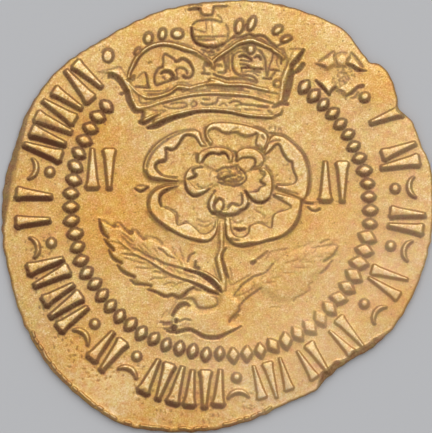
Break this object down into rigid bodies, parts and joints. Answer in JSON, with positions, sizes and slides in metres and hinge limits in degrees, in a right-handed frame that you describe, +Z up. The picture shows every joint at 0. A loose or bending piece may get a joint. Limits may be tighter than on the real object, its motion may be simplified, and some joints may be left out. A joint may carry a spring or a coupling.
{
  "type": "hammered gold coin",
  "caption": "Thin hand-struck gold coin on an uneven flan, with a crowned rose on a leafy stalk inside a ring of beads, lying face up.",
  "frame": {"origin": "under the middle of the coin, on the plane that it lies on", "axes": "+Z up out of the obverse, +Y towards the crown, +X to the right of the rose"},
  "size_m": [0.0204, 0.0204, 0.0005],
  "materials": {
    "gold": "struck and worn gold, satin, with brown toning round the relief"
  },
  "bodies": {
    "root": {"gold_coin": "gold"}
  },
  "joints": []
}
